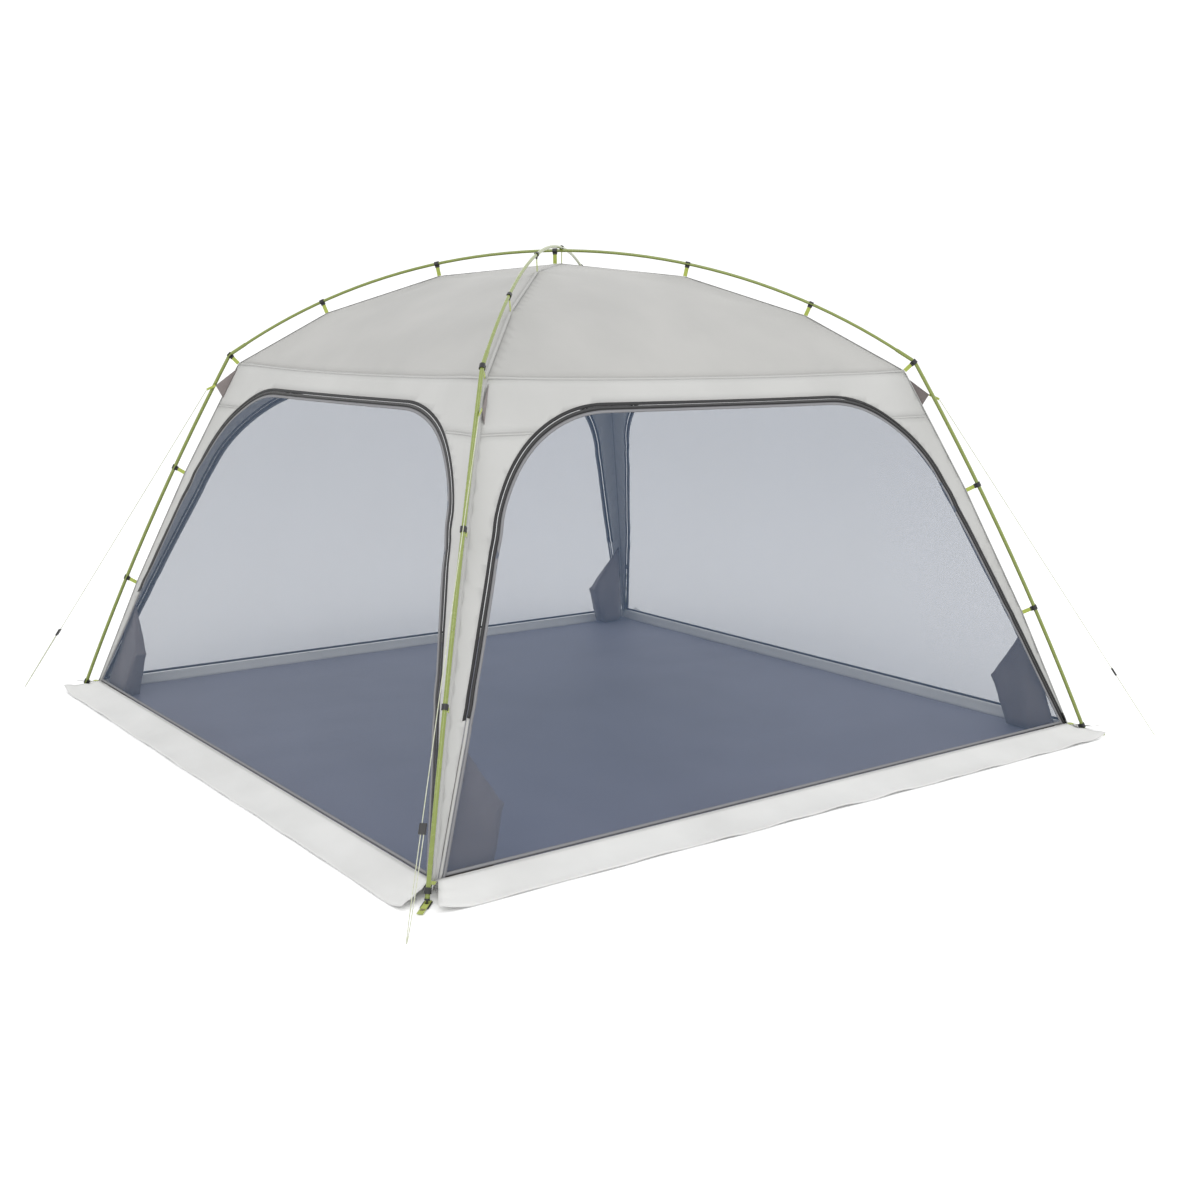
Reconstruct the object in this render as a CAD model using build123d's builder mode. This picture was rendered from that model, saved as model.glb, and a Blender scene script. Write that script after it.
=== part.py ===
from build123d import *
from math import cos, pi, sin, sqrt
import os

# A pitched screen house: two long poles cross over a square canopy and hold it
# up from outside by clips.  Each of the four walls is one arch-shaped mesh door.
# Origin: centre of the base on the ground.  +Z up.  Millimetres.
# The front wall faces -Y; the other three are quarter turns of it.

# ---- overall sizes -----------------------------------------------------------
base = 3350.0              # pole foot to pole foot along each side
crossing_height = 2090.0   # centreline of the lower pole where the two cross
elbow_reach = 1552.0       # pole elbow, out from the centre along the diagonal
eave_drop = 470.0          # pole elbow below the crossing
leg_bow = 30.0             # how far each leg bows out from a straight line

# ---- poles -------------------------------------------------------------------
leg_tube = 16.0            # outside diameters and walls
leg_wall = 1.2
roof_tube = 13.0
roof_wall = 0.9
tube_clearance = 0.4       # between a tube and what plugs into it, on radius
elbow_inner_bend = 62.0    # inside radius of the bent tube at the eave
elbow_arm = 95.0           # each arm of the bent tube, from the corner
elbow_socket = 32.0        # how far the roof pole goes into the bent tube
crossing_gap = 1.0         # between the two poles where they cross
roof_sections = 5
section_gap = 0.6          # butt joint between two pole sections
ferrule_length = 90.0
shock_cord = 3.0

# ---- clips -------------------------------------------------------------------
leg_clips = (0.34, 0.67)   # along the leg from the ground
roof_clips = (0.344, 0.687)  # along the roof arc from the crossing
crown_clip = 26.0          # crown clips, out from the crossing
canopy_gap = 55.0          # canopy seam inside the pole's centreline
clip_length = 20.0
clip_wall = 2.8
clip_mouth = 8.4           # opening in the side of each hook
clip_slack = 0.8           # clip bore over the tube, on radius
clip_stem = 9.0
clip_webbing_width = 17.0
clip_webbing = 1.4
seam_gap = 0.9             # webbing's end off the sharp line of the seam

# ---- canopy ------------------------------------------------------------------
fabric = 1.2
sill_height = 45.0         # bottom of the mesh above the ground
band_drop = 192.7          # seam of leg panels and eave band, below the eave
skirt_reach = 150.0        # ground flap, out from the wall
skirt_corner_top = 18.0    # flap's ends, in from the wall's corner
skirt_corner_foot = 80.0   # the same at the flap's outer edge, in from its corner
floor_inset = 29.0         # groundsheet's edge inside the wall's bottom edge

# ---- doors -------------------------------------------------------------------
door_foot_margin = 18.0    # in from the wall's corner at the sill
door_shoulder_margin = 127.4  # the same where the door's sides would meet its top
door_top_drop = 107.7      # door's top below the eave
door_arch = 620.0          # radius of the upper corners
door_gap = 4.0             # between the door and the frame's zip tape
zip_tape = 12.0
sewn_height = 500.0        # the door is sewn, not zipped, below this on its left
door_sill_gap = 4.0
slider_length, slider_width, slider_thickness = 24.0, 10.0, 5.0
slider_clearance = 0.3
pull_length, pull_width, pull_thickness = 34.0, 7.0, 1.8
pull_pivot = 6.0           # the pull's pivot, behind the slider's middle

# ---- corner pockets ------------------------------------------------------------
pocket_top = 470.0
pocket_reach = 300.0       # along the wall from the corner, at its widest
pocket_knee = 220.0        # height of its widest point
pocket_foot = 210.0        # along the wall from the corner, at the floor
pocket_depth = 95.0        # into the room at the floor
pocket_clearance = 3.0     # behind the door

# ---- guy lines -------------------------------------------------------------------
guy_side = 14.0            # beside the pole, off the diagonal
wing_top, wing_foot = 1562.0, 1425.0
wing_tip = (1620.0, 1482.0)      # reach along the diagonal, height
guy_loop_end = (1664.0, 1462.0)
guy_loop_width = 10.0
guy_line_start = 3.0       # the line's centre starts this far past the loop's end
guy_ground = (2666.0, 2.5)
guy_line = 3.0
guy_strands = 12.0         # between the two strands of the ground loop
turn_share = 0.45          # radius of a doubled cord's turn, as a share of its width
tensioner_from_end = 340.0
tensioner_length, tensioner_width, tensioner_thickness = 34.0, 24.0, 8.0
tensioner_bore = 2.2

# ---- feet ----------------------------------------------------------------------
pad_length, pad_width, pad_thickness = 62.0, 28.0, 2.5
pad_corner = 7.0
strap_length, strap_width, strap_thickness = 108.0, 20.0, 1.6
strap_inboard = 26.0       # strap and pad reach this far inside the pole's foot
eyelet_radius, eyelet_wall, eyelet_height = 5.0, 2.5, 3.4
eyelet_reach = 52.0        # peg eyelet outside the pole's foot
tip_pin, tip_flange = 3.0, 9.0      # radii
tip_flange_top = 18.0               # the tube starts here, up the leg from the ground
tip_plug, tip_flange_height, tip_pin_length = 26.0, 6.0, 6.4
pin_hole = 7.0
tab_length, tab_width, tab_thickness = 26.0, 22.0, 2.0
elastic = 3.0
elastic_width = 12.0       # between the two strands of the stretch loop
foot_hook_height = 42.0    # up the leg

SIDES = {"front": 0, "right": 90, "back": 180, "left": 270}
CORNERS = {"front_left": 225, "front_right": 315, "back_right": 45, "back_left": 135}
POLE_A = (135, 315)        # corners that the lower pole stands on
POLE_B = (45, 225)

foot_reach = base / 2 * sqrt(2)
elbow_bend = elbow_inner_bend + leg_tube / 2
elbow_height = crossing_height - eave_drop
far = 2 * base             # longer than anything that it cuts

os.makedirs("parts", exist_ok=True)


def save(builder, name):
    """Label one finished sub-part and write it."""
    builder.part.label = name
    export_step(builder.part, f"parts/{name}.step")


def place(piece, angles):
    """Copies of a piece, each turned about the vertical axis."""
    with BuildPart() as copies:
        with Locations(*[Rotation(0, 0, angle) for angle in angles]):
            add(piece.part)
    return copies


# ---- pole centrelines, in the vertical plane of one corner (X out, Z up) -----
with BuildLine(Plane.XZ) as leg_builder:
    SagittaArc((foot_reach, 0), (elbow_reach, elbow_height), -leg_bow)
leg_arc = leg_builder.edge()
crossing_lift = roof_tube + crossing_gap


def roof_centreline(lift):
    """The roof arc from the crossing down to the elbow."""
    top = (0, crossing_height + lift)
    end = (elbow_reach, elbow_height)
    mirrored = (-elbow_reach, elbow_height)
    with BuildLine(Plane.XZ) as whole:
        ThreePointArc(mirrored, top, end)
    return whole.edge().trim(0.5, 1.0)


ROOF_ARCS = {"a": roof_centreline(0), "b": roof_centreline(crossing_lift)}


def tube_along(edge, outer, inner):
    """A round tube, or a rod if inner is 0, along one edge."""
    with BuildPart() as tube:
        with BuildLine():
            add(edge)
        with BuildSketch(Plane(origin=edge @ 0, z_dir=edge % 0)):
            Circle(outer)
            if inner:
                Circle(inner, mode=Mode.SUBTRACT)
        sweep()
    return tube


def part_of(edge, start, end):
    """The stretch of an edge between two distances from its start."""
    return edge.trim(start / edge.length, end / edge.length)


def corner_point(roof_arc):
    """Where the tangents at the two ends of the bent tube meet."""
    low = leg_arc @ (1 - elbow_arm / leg_arc.length)
    low_way = leg_arc % (1 - elbow_arm / leg_arc.length)
    high = roof_arc @ (1 - elbow_arm / roof_arc.length)
    high_way = roof_arc % (1 - elbow_arm / roof_arc.length)
    across = high - low
    turn = low_way.X * high_way.Z - low_way.Z * high_way.X
    step = (across.X * high_way.Z - across.Z * high_way.X) / turn
    return low, low + low_way * step, high


def elbow_path(roof_arc):
    """Centreline of the bent tube at the eave."""
    low, corner, high = corner_point(roof_arc)
    with BuildLine() as path:
        FilletPolyline(low, corner, high, radius=elbow_bend)
    return path.wire()


# ---- poles -------------------------------------------------------------------
leg_inner = leg_tube / 2 - leg_wall
roof_inner = roof_tube / 2 - roof_wall
leg_top = leg_arc.length - elbow_arm - section_gap
leg_joint = (tip_flange_top + leg_top) / 2

leg_lower = tube_along(part_of(leg_arc, tip_flange_top, leg_joint), leg_tube / 2, leg_inner)
leg_upper = tube_along(part_of(leg_arc, leg_joint + section_gap, leg_top), leg_tube / 2, leg_inner)
save(place(leg_lower, CORNERS.values()), "leg_poles_lower")
save(place(leg_upper, CORNERS.values()), "leg_poles_upper")

foot_arc = part_of(leg_arc, tip_flange_top, leg_joint)
tip_seat = Plane(origin=foot_arc @ 0, z_dir=foot_arc % 0)
with BuildPart() as pole_tip:
    with BuildSketch(tip_seat):
        Circle(leg_inner - tube_clearance)
    extrude(amount=tip_plug)
    with BuildSketch(tip_seat):
        Circle(tip_flange)
    extrude(amount=-tip_flange_height)
    with BuildSketch(tip_seat.offset(-tip_flange_height)):
        Circle(tip_pin)
    extrude(amount=-tip_pin_length)
save(place(pole_tip, CORNERS.values()), "pole_tips")


def bent_tube(roof_arc):
    """The pre-bent tube at the eave: the leg butts to it and the roof pole plugs in."""
    return tube_along(elbow_path(roof_arc), leg_tube / 2, roof_tube / 2 + tube_clearance)


with BuildPart() as elbow_tubes:
    add(place(bent_tube(ROOF_ARCS["a"]), POLE_A).part)
    add(place(bent_tube(ROOF_ARCS["b"]), POLE_B).part)
save(elbow_tubes, "elbow_tubes")

with BuildPart() as leg_ferrule:
    add(tube_along(part_of(leg_arc, leg_joint - ferrule_length / 2, leg_joint + ferrule_length / 2),
                   leg_inner - tube_clearance, shock_cord / 2 + tube_clearance).part)
    add(tube_along(part_of(leg_arc, leg_top - ferrule_length, leg_top - section_gap),
                   leg_inner - tube_clearance, shock_cord / 2 + tube_clearance).part)


def arc_between(roof_arc, start, end):
    """A stretch of the whole roof arc, from elbow to elbow, measured from the crossing."""
    top = roof_arc @ 0
    angles = [distance / roof_arc.radius for distance in (start, (start + end) / 2, end)]
    points = [(roof_arc.radius * sin(angle), top.Z - roof_arc.radius * (1 - cos(angle))) for angle in angles]
    with BuildLine(Plane.XZ) as stretch:
        ThreePointArc(*points)
    return stretch.edge()


def roof_pole(roof_arc):
    """One roof pole in butted sections, plugged into the bent tube at each end."""
    half = roof_arc.length - elbow_arm + elbow_socket
    span = 2 * half / roof_sections
    starts = [number * span - half for number in range(roof_sections)]
    with BuildPart() as sections:
        for start in starts:
            add(tube_along(arc_between(roof_arc, start, start + span - section_gap),
                           roof_tube / 2, roof_inner).part)
    with BuildPart() as ferrules:
        for start in starts[1:]:
            add(tube_along(arc_between(roof_arc, start - ferrule_length / 2, start + ferrule_length / 2),
                           roof_inner - tube_clearance, shock_cord / 2 + tube_clearance).part)
    return sections, ferrules


sections_a, ferrules_a = roof_pole(ROOF_ARCS["a"])
sections_b, ferrules_b = roof_pole(ROOF_ARCS["b"])
save(place(sections_a, POLE_A[:1]), "roof_pole_a")
save(place(sections_b, POLE_B[:1]), "roof_pole_b")
with BuildPart() as ferrules:
    add(place(leg_ferrule, CORNERS.values()).part)
    add(place(ferrules_a, POLE_A[:1]).part)
    add(place(ferrules_b, POLE_B[:1]).part)
save(ferrules, "ferrules")


# ---- canopy outline, from the clips ------------------------------------------
def inward(tangent):
    """The way from a pole to the canopy: square to the pole and down or in."""
    across = Vector(tangent.Z, 0, -tangent.X)
    return across if across.Z < 0 else -across


def station(edge, share):
    """A point on a pole, the pole's direction there, and the canopy point inside it."""
    point, way = edge @ share, edge % share
    return point, way, point + inward(way) * canopy_gap


def stations(roof_arc):
    """Every clip on one corner's pole, from the ground to the crown."""
    bend = elbow_path(roof_arc).edges().filter_by(GeomType.CIRCLE)[0]
    return [station(leg_arc, share) for share in leg_clips] + [station(bend, 0.5)] \
        + [station(roof_arc, share) for share in reversed(roof_clips)]


def half_width(point):
    """A canopy point of the corner's plane as (half width of the wall, height)."""
    return (point.X / sqrt(2), point.Z)


def between(low, high, height):
    """The point at one height on the line between two (half width, height) points."""
    share = (height - low[1]) / (high[1] - low[1])
    return (low[0] + share * (high[0] - low[0]), height)


clip_points = [half_width(canopy) for point, way, canopy in stations(ROOF_ARCS["a"])]
wall_low, wall_mid, eave, roof_low, roof_high = clip_points
crown = (0, crossing_height - canopy_gap)
ground = between(half_width(station(leg_arc, 0)[2]), wall_low, 0)
sill = between(ground, wall_low, sill_height)
band_foot = between(wall_mid, eave, eave[1] - band_drop)
floor_half = sill[0] - floor_inset
door_top = eave[1] - door_top_drop
door_foot = sill[0] - door_foot_margin
door_shoulder = between(wall_mid, eave, door_top)[0] - door_shoulder_margin

# one side is the wedge between the two diagonals; these planes face out of it
LEFT_CUT = Plane(origin=(0, 0, 0), z_dir=(-1, 1, 0))
RIGHT_CUT = Plane(origin=(0, 0, 0), z_dir=(1, 1, 0))


def sheet_of(outline, thick=fabric):
    """The front side's sheet along a profile of (half width, height) points."""
    outer = [(-half, height) for half, height in outline]
    inner = [(y + thick, z - thick) for y, z in reversed(outer)]
    with BuildPart() as sheet:
        with BuildSketch(Plane.YZ):
            with BuildLine():
                Polyline(*outer, *inner, close=True)
            make_face()
        extrude(amount=far, both=True)
        split(bisect_by=LEFT_CUT, keep=Keep.BOTTOM)
        split(bisect_by=RIGHT_CUT, keep=Keep.BOTTOM)
    return sheet


def arch_prism(margin):
    """The door's outline grown by a margin, carried through the front wall."""
    with BuildPart() as prism:
        with BuildSketch(Plane.XZ) as arch:
            with BuildLine():
                Polyline((-door_foot, sill_height), (door_foot, sill_height), (door_shoulder, door_top),
                         (-door_shoulder, door_top), close=True)
            make_face()
            fillet(arch.vertices().group_by(Axis.Y)[-1], door_arch)
            if margin:
                offset(amount=margin, kind=Kind.INTERSECTION, mode=Mode.REPLACE)
        extrude(amount=far)
    return prism


def sewn_side():
    """Everything left of the door's middle and below the end of its zip."""
    with BuildPart() as block:
        Box(far, far, sewn_height, align=(Align.MAX, Align.CENTER, Align.MIN))
    return block


def below(height):
    """Everything below a height."""
    with BuildPart() as block:
        Box(2 * far, 2 * far, far, align=(Align.CENTER, Align.CENTER, Align.MAX))
    return block.part.moved(Location((0, 0, height)))


frame_edge = arch_prism(door_gap / 2)
tape_edge = arch_prism(door_gap / 2 + zip_tape)
door_edge = arch_prism(-door_gap / 2)
mesh_edge = arch_prism(-door_gap / 2 - zip_tape)
sewn = sewn_side()

with BuildPart() as roof_panel:
    add(sheet_of([eave, roof_low, roof_high, crown]).part)

with BuildPart() as eave_band:
    add(sheet_of([band_foot, eave]).part)
    add(tape_edge.part, mode=Mode.SUBTRACT)

with BuildPart() as wall_cloth:
    add(sheet_of([sill, wall_low, wall_mid, band_foot]).part)
    add(frame_edge.part, mode=Mode.SUBTRACT)
with BuildPart() as zip_track:
    add(sheet_of([sill, wall_low, wall_mid, eave]).part)
    add(tape_edge.part, mode=Mode.INTERSECT)
    add(frame_edge.part, mode=Mode.SUBTRACT)
    add(sewn.part, mode=Mode.SUBTRACT)
with BuildPart() as wall_ends:
    add(wall_cloth.part)
    add(zip_track.part, mode=Mode.SUBTRACT)
left_end = wall_ends.solids().sort_by(Axis.X)[0]
right_end = wall_ends.solids().sort_by(Axis.X)[-1]
with BuildPart() as leg_panel:
    add(left_end)
    with Locations(Rotation(0, 0, -90)):
        add(right_end)

with BuildPart() as door_leaf:
    add(sheet_of([sill, wall_low, wall_mid, eave]).part)
    add(door_edge.part, mode=Mode.INTERSECT)
    add(below(sill_height + door_sill_gap), mode=Mode.SUBTRACT)
with BuildPart() as mesh_area:
    add(mesh_edge.part)
    add(below(sill_height + door_sill_gap + zip_tape), mode=Mode.SUBTRACT)
with BuildPart() as sewn_door_edge:
    add(sewn.part)
    add(below(sill_height + door_sill_gap + zip_tape), mode=Mode.SUBTRACT)
with BuildPart() as door_zip:
    add(door_leaf.part)
    add(mesh_area.part, mode=Mode.SUBTRACT)
    add(sewn_door_edge.part, mode=Mode.SUBTRACT)
with BuildPart() as door_mesh:
    add(door_leaf.part)
    add(door_zip.part, mode=Mode.SUBTRACT)

# ---- skirt, sill and groundsheet ----------------------------------------------
skirt_edge = sill[0] + skirt_reach
with BuildPart() as skirt:
    with BuildSketch(Plane.YZ):
        with BuildLine():
            Polyline((-sill[0], sill_height), (-skirt_edge, fabric), (-skirt_edge, 0),
                     (-sill[0], sill_height - fabric), close=True)
        make_face()
    extrude(amount=far, both=True)
    with BuildSketch() as plan:
        with BuildLine():
            top, foot = sill[0] - skirt_corner_top, skirt_edge - skirt_corner_foot
            Polyline((-top, -sill[0]), (top, -sill[0]), (foot, -skirt_edge), (-foot, -skirt_edge), close=True)
        make_face()
    extrude(amount=far, mode=Mode.INTERSECT)

with BuildPart() as floor_sill:
    with BuildSketch(Plane.YZ):
        with BuildLine():
            Polyline((-sill[0], sill_height), (-sill[0], sill_height - fabric), (-floor_half, 0),
                     (-floor_half, fabric), close=True)
        make_face()
    extrude(amount=far, both=True)
    split(bisect_by=LEFT_CUT, keep=Keep.BOTTOM)
    split(bisect_by=RIGHT_CUT, keep=Keep.BOTTOM)

with BuildPart() as groundsheet:
    Box(2 * floor_half, 2 * floor_half, fabric, align=(Align.CENTER, Align.CENTER, Align.MIN))
save(groundsheet, "groundsheet")

# ---- corner pocket: a pouch behind the sewn edge of the door --------------------
pocket_back = pocket_clearance + fabric
with BuildPart() as pocket:
    with BuildSketch(Plane.YZ):
        with BuildLine():
            top_half = between(ground, wall_low, pocket_top)[0] - 2 * pocket_back
            Polyline((-top_half, pocket_top), (-floor_half, sill_height), (-floor_half, fabric),
                     (pocket_depth - floor_half, fabric), (fabric - top_half, pocket_top), close=True)
        make_face()
    extrude(amount=far, both=True)
    split(bisect_by=LEFT_CUT, keep=Keep.BOTTOM)
    with BuildSketch(Plane.XZ):
        with BuildLine():
            Polyline((-floor_half, 0), (-top_half + pocket_back, pocket_top),
                     (-top_half + zip_tape + 2 * pocket_back, pocket_top),
                     (pocket_reach - floor_half, pocket_knee), (pocket_foot - floor_half, 0), close=True)
        make_face()
    extrude(amount=far, mode=Mode.INTERSECT)

# ---- the four sides --------------------------------------------------------------
for side, turn in SIDES.items():
    for piece, name in ((roof_panel, "roof_panel"), (eave_band, "eave_band"), (skirt, "skirt"),
                        (door_zip, "door_zip"), (door_mesh, "door_mesh")):
        save(place(piece, (turn,)), f"{name}_{side}")
for corner, turn in zip(CORNERS, SIDES.values()):
    save(place(leg_panel, (turn,)), f"leg_panel_{corner}")
save(place(floor_sill, SIDES.values()), "floor_sill")
save(place(zip_track, SIDES.values()), "zip_tracks")
save(place(pocket, SIDES.values()), "corner_pockets")

# ---- zip sliders: parked at the foot of each door's free side --------------------
side_lean = (door_foot - door_shoulder) / (door_top - sill_height)
wall_lean = (sill[0] - wall_low[0]) / (wall_low[1] - sill_height)
track_way = Vector(-side_lean, wall_lean, 1).normalized()
wall_out = Vector(0, -1, wall_lean).normalized()
track_middle = door_gap / 2 + zip_tape / 2
slider_height = sill_height + slider_length
slider_spot = Vector(door_foot - side_lean * slider_length + track_middle * sqrt(1 + side_lean ** 2),
                     -between(ground, wall_low, slider_height)[0], slider_height)
with BuildPart() as zip_slider:
    with BuildSketch(Plane(origin=slider_spot + wall_out * slider_clearance, x_dir=track_way, z_dir=wall_out)):
        SlotOverall(slider_length, slider_width)
    extrude(amount=slider_thickness)
    with BuildSketch(Plane(origin=slider_spot + wall_out * (slider_clearance + slider_thickness),
                           x_dir=track_way, z_dir=wall_out)):
        with Locations((pull_length / 2 - pull_pivot, 0)):
            SlotOverall(pull_length, pull_width)
    extrude(amount=pull_thickness)
for side, turn in SIDES.items():
    save(place(zip_slider, (turn,)), f"zip_slider_{side}")


# ---- clips -------------------------------------------------------------------------
def clip_plane(point, way, canopy):
    """X from the pole to the canopy, Z along the pole."""
    return Plane(origin=point, x_dir=(canopy - point).normalized(), z_dir=way)


def hook_at(point, way, canopy, tube):
    """A snap hook round a tube, with a stem towards the canopy."""
    bore = tube / 2 + clip_slack
    with BuildPart() as hook:
        with BuildSketch(clip_plane(point, way, canopy)):
            Circle(bore + clip_wall)
            with Locations((bore + clip_stem / 2, 0)):
                Rectangle(clip_stem, 2 * clip_wall)
            Circle(bore, mode=Mode.SUBTRACT)
            with Locations((0, -bore)):
                Rectangle(bore, clip_mouth, mode=Mode.SUBTRACT)
        extrude(amount=clip_length / 2, both=True)
    return hook


def webbing_at(point, way, canopy, tube):
    """The webbing from a hook's stem to the canopy's seam."""
    start = tube / 2 + clip_slack + clip_stem
    end = (canopy - point).length - seam_gap
    with BuildPart() as strip:
        with BuildSketch(clip_plane(point, way, canopy)):
            with Locations(((start + end) / 2, 0)):
                Rectangle(end - start, clip_webbing)
        extrude(amount=clip_webbing_width / 2, both=True)
    return strip


clip_tubes = [leg_tube] * (len(leg_clips) + 1) + [roof_tube] * len(roof_clips)


def corner_clips(roof_arc):
    """Hooks and webbing of one corner, each hung on the canopy point that the lower pole sets."""
    spots = zip(stations(roof_arc), stations(ROOF_ARCS["a"]), clip_tubes)
    spots = [(place[0], place[1], lower[2], tube) for place, lower, tube in spots]
    with BuildPart() as hooks:
        for spot in spots:
            add(hook_at(*spot).part)
    with BuildPart() as strips:
        for spot in spots:
            add(webbing_at(*spot).part)
    return hooks, strips


def crown_pieces(roof_arc, make):
    """One hook or strip beside the crossing, hung on the roof's ridge."""
    share = crown_clip / roof_arc.length
    point, way = roof_arc @ share, roof_arc % share
    slope = (crown[1] - roof_high[1]) / (roof_high[0] * sqrt(2))
    canopy = Vector(point.X, 0, crown[1] - slope * point.X)
    return make(point, way, canopy, roof_tube)


hooks_a, strips_a = corner_clips(ROOF_ARCS["a"])
hooks_b, strips_b = corner_clips(ROOF_ARCS["b"])
with BuildPart() as clip_hooks:
    add(place(hooks_a, POLE_A).part)
    add(place(hooks_b, POLE_B).part)
    add(place(crown_pieces(ROOF_ARCS["a"], hook_at), POLE_A[:1]).part)
    add(place(crown_pieces(ROOF_ARCS["b"], hook_at), POLE_B[:1]).part)
save(clip_hooks, "clip_hooks")
with BuildPart() as clip_straps:
    add(place(strips_a, POLE_A).part)
    add(place(strips_b, POLE_B).part)
    add(place(crown_pieces(ROOF_ARCS["a"], webbing_at), POLE_A[:1]).part)
    add(place(crown_pieces(ROOF_ARCS["b"], webbing_at), POLE_B[:1]).part)
save(clip_straps, "clip_straps")

# ---- guy-out wings, loops, lines and tensioners ----------------------------------------
guy_plane = Plane(origin=(0, guy_side, 0), x_dir=(1, 0, 0), z_dir=(0, -1, 0))


def ridge_reach(height):
    """The corner seam's reach along the diagonal at a height between the mid clip and the eave."""
    return between(wall_mid, eave, height)[0] * sqrt(2)


wing_root = guy_side - fabric
with BuildPart() as guy_wing:
    with BuildSketch(guy_plane):
        with BuildLine():
            Polyline((ridge_reach(wing_top) - wing_root, wing_top), wing_tip,
                     (ridge_reach(wing_foot) - wing_root, wing_foot), close=True)
        make_face()
    extrude(amount=fabric / 2, both=True)
save(place(guy_wing, CORNERS.values()), "guy_wings")

loop_way = Vector(guy_loop_end[0] - wing_tip[0], 0, guy_loop_end[1] - wing_tip[1])
with BuildPart() as guy_loop:
    with BuildSketch(Plane(origin=(wing_tip[0], guy_side, wing_tip[1]), x_dir=loop_way.normalized(),
                           z_dir=(0, -1, 0))):
        with Locations((loop_way.length / 2, 0)):
            Rectangle(loop_way.length, guy_loop_width)
    extrude(amount=fabric / 2, both=True)
    add(guy_wing.part, mode=Mode.SUBTRACT)
save(place(guy_loop, CORNERS.values()), "guy_loops")

line_foot = Vector(guy_ground[0], guy_side, guy_ground[1])
line_way = (line_foot - Vector(guy_loop_end[0], guy_side, guy_loop_end[1])).normalized()
line_top = Vector(guy_loop_end[0], guy_side, guy_loop_end[1]) + line_way * guy_line_start
side_way = Vector(0, 1, 0)
ROUTE = [line_top, line_foot, line_foot + side_way * guy_strands,
         line_foot + side_way * guy_strands - line_way * tensioner_from_end]
with BuildPart() as guy_cord:
    with BuildLine() as route:
        FilletPolyline(*ROUTE, radius=guy_strands * turn_share)
    with BuildSketch(Plane(origin=line_top, z_dir=line_way)):
        Circle(guy_line / 2)
    sweep()
tube_length = route.wire().length
print("guy line", round(tube_length), "mm, volume over section",
      round(guy_cord.part.volume / (pi * (guy_line / 2) ** 2)))

tensioner_spot = line_foot - line_way * tensioner_from_end + side_way * guy_strands / 2
with BuildPart() as tensioner:
    with BuildSketch(Plane(origin=tensioner_spot, x_dir=side_way, z_dir=line_way)):
        SlotOverall(tensioner_width, tensioner_thickness)
        with Locations((-guy_strands / 2, 0), (guy_strands / 2, 0)):
            Circle(tensioner_bore, mode=Mode.SUBTRACT)
    extrude(amount=tensioner_length / 2, both=True)
for corner, turn in CORNERS.items():
    save(place(guy_cord, (turn,)), f"guy_line_{corner}")
    save(place(tensioner, (turn,)), f"tensioner_{corner}")

# ---- feet ------------------------------------------------------------------------
strap_start = foot_reach - strap_inboard
with BuildPart() as foot_pad:
    with BuildSketch():
        with Locations((strap_start + pad_length / 2, 0)):
            RectangleRounded(pad_length, pad_width, pad_corner)
    extrude(amount=pad_thickness)
save(place(foot_pad, CORNERS.values()), "foot_pads")

eyelet_spot = foot_reach + eyelet_reach
with BuildPart() as foot_strap:
    with BuildSketch(Plane.XY.offset(pad_thickness)):
        with Locations((strap_start + strap_length / 2, 0)):
            Rectangle(strap_length, strap_width)
        with Locations((foot_reach, 0)):
            Circle(pin_hole, mode=Mode.SUBTRACT)
        with Locations((eyelet_spot, 0)):
            Circle(eyelet_radius + eyelet_wall, mode=Mode.SUBTRACT)
    extrude(amount=strap_thickness)
save(place(foot_strap, CORNERS.values()), "foot_straps")

with BuildPart() as peg_eyelet:
    with BuildSketch(Plane.XY.offset(pad_thickness + strap_thickness / 2 - eyelet_height / 2)):
        with Locations((eyelet_spot, 0)):
            Circle(eyelet_radius + eyelet_wall)
            Circle(eyelet_radius, mode=Mode.SUBTRACT)
    extrude(amount=eyelet_height)
save(place(peg_eyelet, CORNERS.values()), "peg_eyelets")

# the canopy's corner: a webbing tab, the hook on the pole's foot, and a stretch loop between them
tab_end = Vector(sill[0] * sqrt(2) + tab_length, 0, sill_height - tab_thickness / 2)
with BuildPart() as corner_tab:
    with BuildSketch(Plane.XY.offset(sill_height - tab_thickness)):
        with Locations((tab_end.X - tab_length / 2, 0)):
            Rectangle(tab_length, tab_width)
    extrude(amount=tab_thickness)
save(place(corner_tab, CORNERS.values()), "corner_tabs")

hook_point, hook_way, hook_inboard = station(leg_arc, foot_hook_height / leg_arc.length)
save(place(hook_at(hook_point, hook_way, hook_inboard, leg_tube), CORNERS.values()), "foot_hooks")

stem_end = hook_point + inward(hook_way) * (leg_tube / 2 + clip_slack + clip_stem + elastic / 2)
half_loop = Vector(0, elastic_width / 2, 0)
tab_edge = tab_end + (stem_end - tab_end).normalized() * elastic / 2
with BuildPart() as stretch_loop:
    with BuildLine():
        FilletPolyline(tab_edge - half_loop, stem_end - half_loop, stem_end + half_loop,
                       tab_edge + half_loop, radius=elastic_width * turn_share)
    with BuildSketch(Plane(origin=tab_edge - half_loop, z_dir=stem_end - tab_edge)):
        Circle(elastic / 2)
    sweep()
save(place(stretch_loop, CORNERS.values()), "stretch_loops")


cord_start = tip_flange_top + tip_plug + section_gap


def cord_in(roof_arc):
    """The shock cord inside one pole, from foot to foot."""
    half = roof_arc.length - elbow_arm
    with BuildPart() as cord:
        add(tube_along(part_of(leg_arc, cord_start, leg_arc.length - elbow_arm), shock_cord / 2, 0).part)
        add(tube_along(elbow_path(roof_arc), shock_cord / 2, 0).part)
    with BuildPart() as whole:
        add(place(cord, (0, 180)).part)
        add(tube_along(arc_between(roof_arc, -half, half), shock_cord / 2, 0).part)
    return whole


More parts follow.
